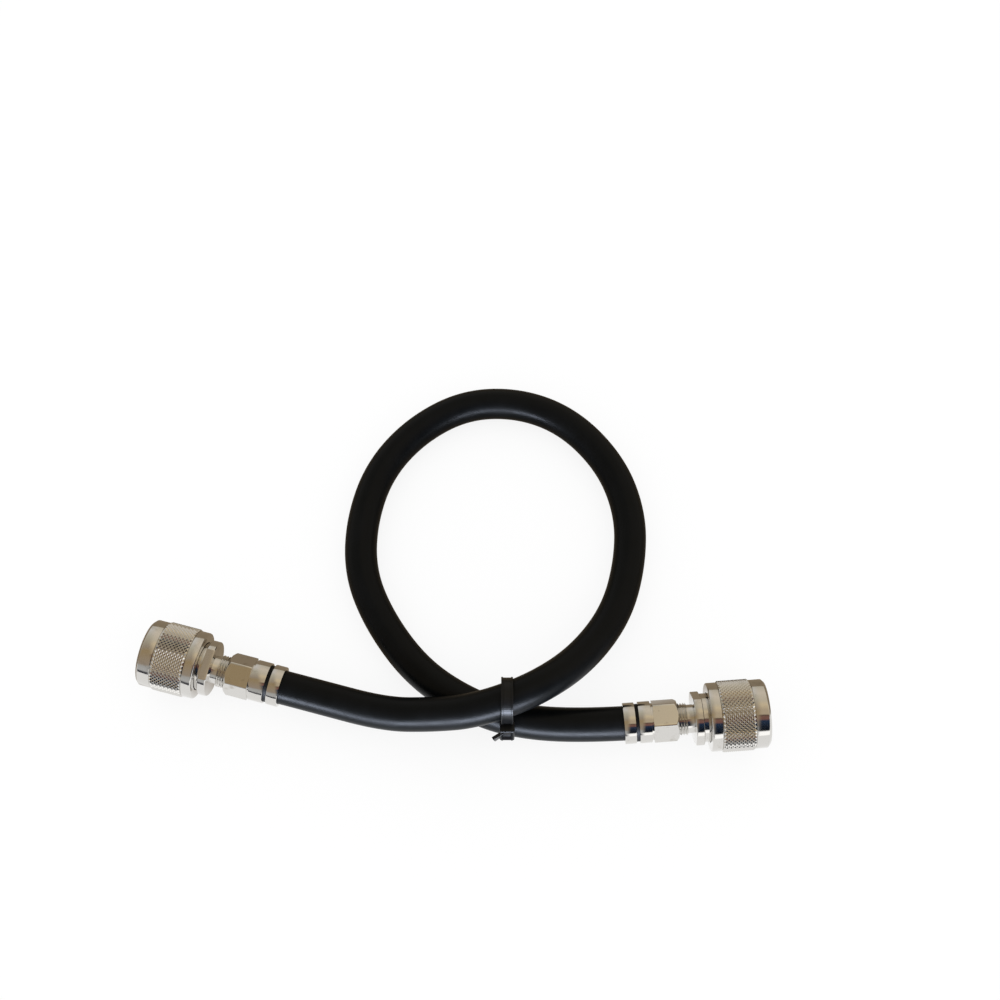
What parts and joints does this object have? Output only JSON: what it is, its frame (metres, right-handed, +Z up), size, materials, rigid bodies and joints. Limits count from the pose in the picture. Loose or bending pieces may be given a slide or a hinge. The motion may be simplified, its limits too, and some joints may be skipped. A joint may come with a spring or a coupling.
{
  "type": "coaxial jumper cable",
  "caption": "Short black coaxial jumper cable in one tied loop, with a knurled N-type screw-on plug on each end.",
  "frame": {"origin": "on the bench under the middle of the two plugs and the cable tie", "axes": "+X from the left plug to the right one, +Y towards the loop, +Z up from the bench"},
  "size_m": [0.1908, 0.1243, 0.0246],
  "materials": {
    "nickel_plate": "nickel plated, satin",
    "spring_bronze": "plain",
    "gold_plate": "gold plated",
    "copper": "bare",
    "silicone": "moulded",
    "ptfe": "turned",
    "foam_dielectric": "extruded foam",
    "seal_rubber": "moulded",
    "cable_jacket": "extruded, satin",
    "nylon": "moulded"
  },
  "bodies": {
    "lead": {"left_retaining_ring": "spring_bronze", "left_face_gasket": "silicone", "left_connector_body": "nickel_plate", "left_insulator": "ptfe", "left_contact_pin": "gold_plate", "left_conductor_end": "copper", "left_core_end": "foam_dielectric", "left_braid_clamp": "nickel_plate", "left_clamp_nut": "nickel_plate", "left_seal_ring": "seal_rubber", "left_rear_ring": "nickel_plate", "right_retaining_ring": "spring_bronze", "right_face_gasket": "silicone", "right_connector_body": "nickel_plate", "right_insulator": "ptfe", "right_contact_pin": "gold_plate", "right_conductor_end": "copper", "right_core_end": "foam_dielectric", "right_braid_clamp": "nickel_plate", "right_clamp_nut": "nickel_plate", "right_seal_ring": "seal_rubber", "right_rear_ring": "nickel_plate", "cable": "cable_jacket", "cable_tie": "nylon"},
    "left_nut": {"left_coupling_nut": "nickel_plate"},
    "right_nut": {"right_coupling_nut": "nickel_plate"}
  },
  "joints": [
    {"name": "left_nut_spin", "type": "hinge", "parent": "lead", "child": "left_nut", "pos_m": [-0.08419, 0.00819, 0.01099], "axis": [0.9681, -0.2432, -0.061], "continuous": true},
    {"name": "right_nut_spin", "type": "hinge", "parent": "lead", "child": "right_nut", "pos_m": [0.08553, -0.00915, 0.01099], "axis": [-0.9963, -0.0609, -0.061], "continuous": true}
  ]
}
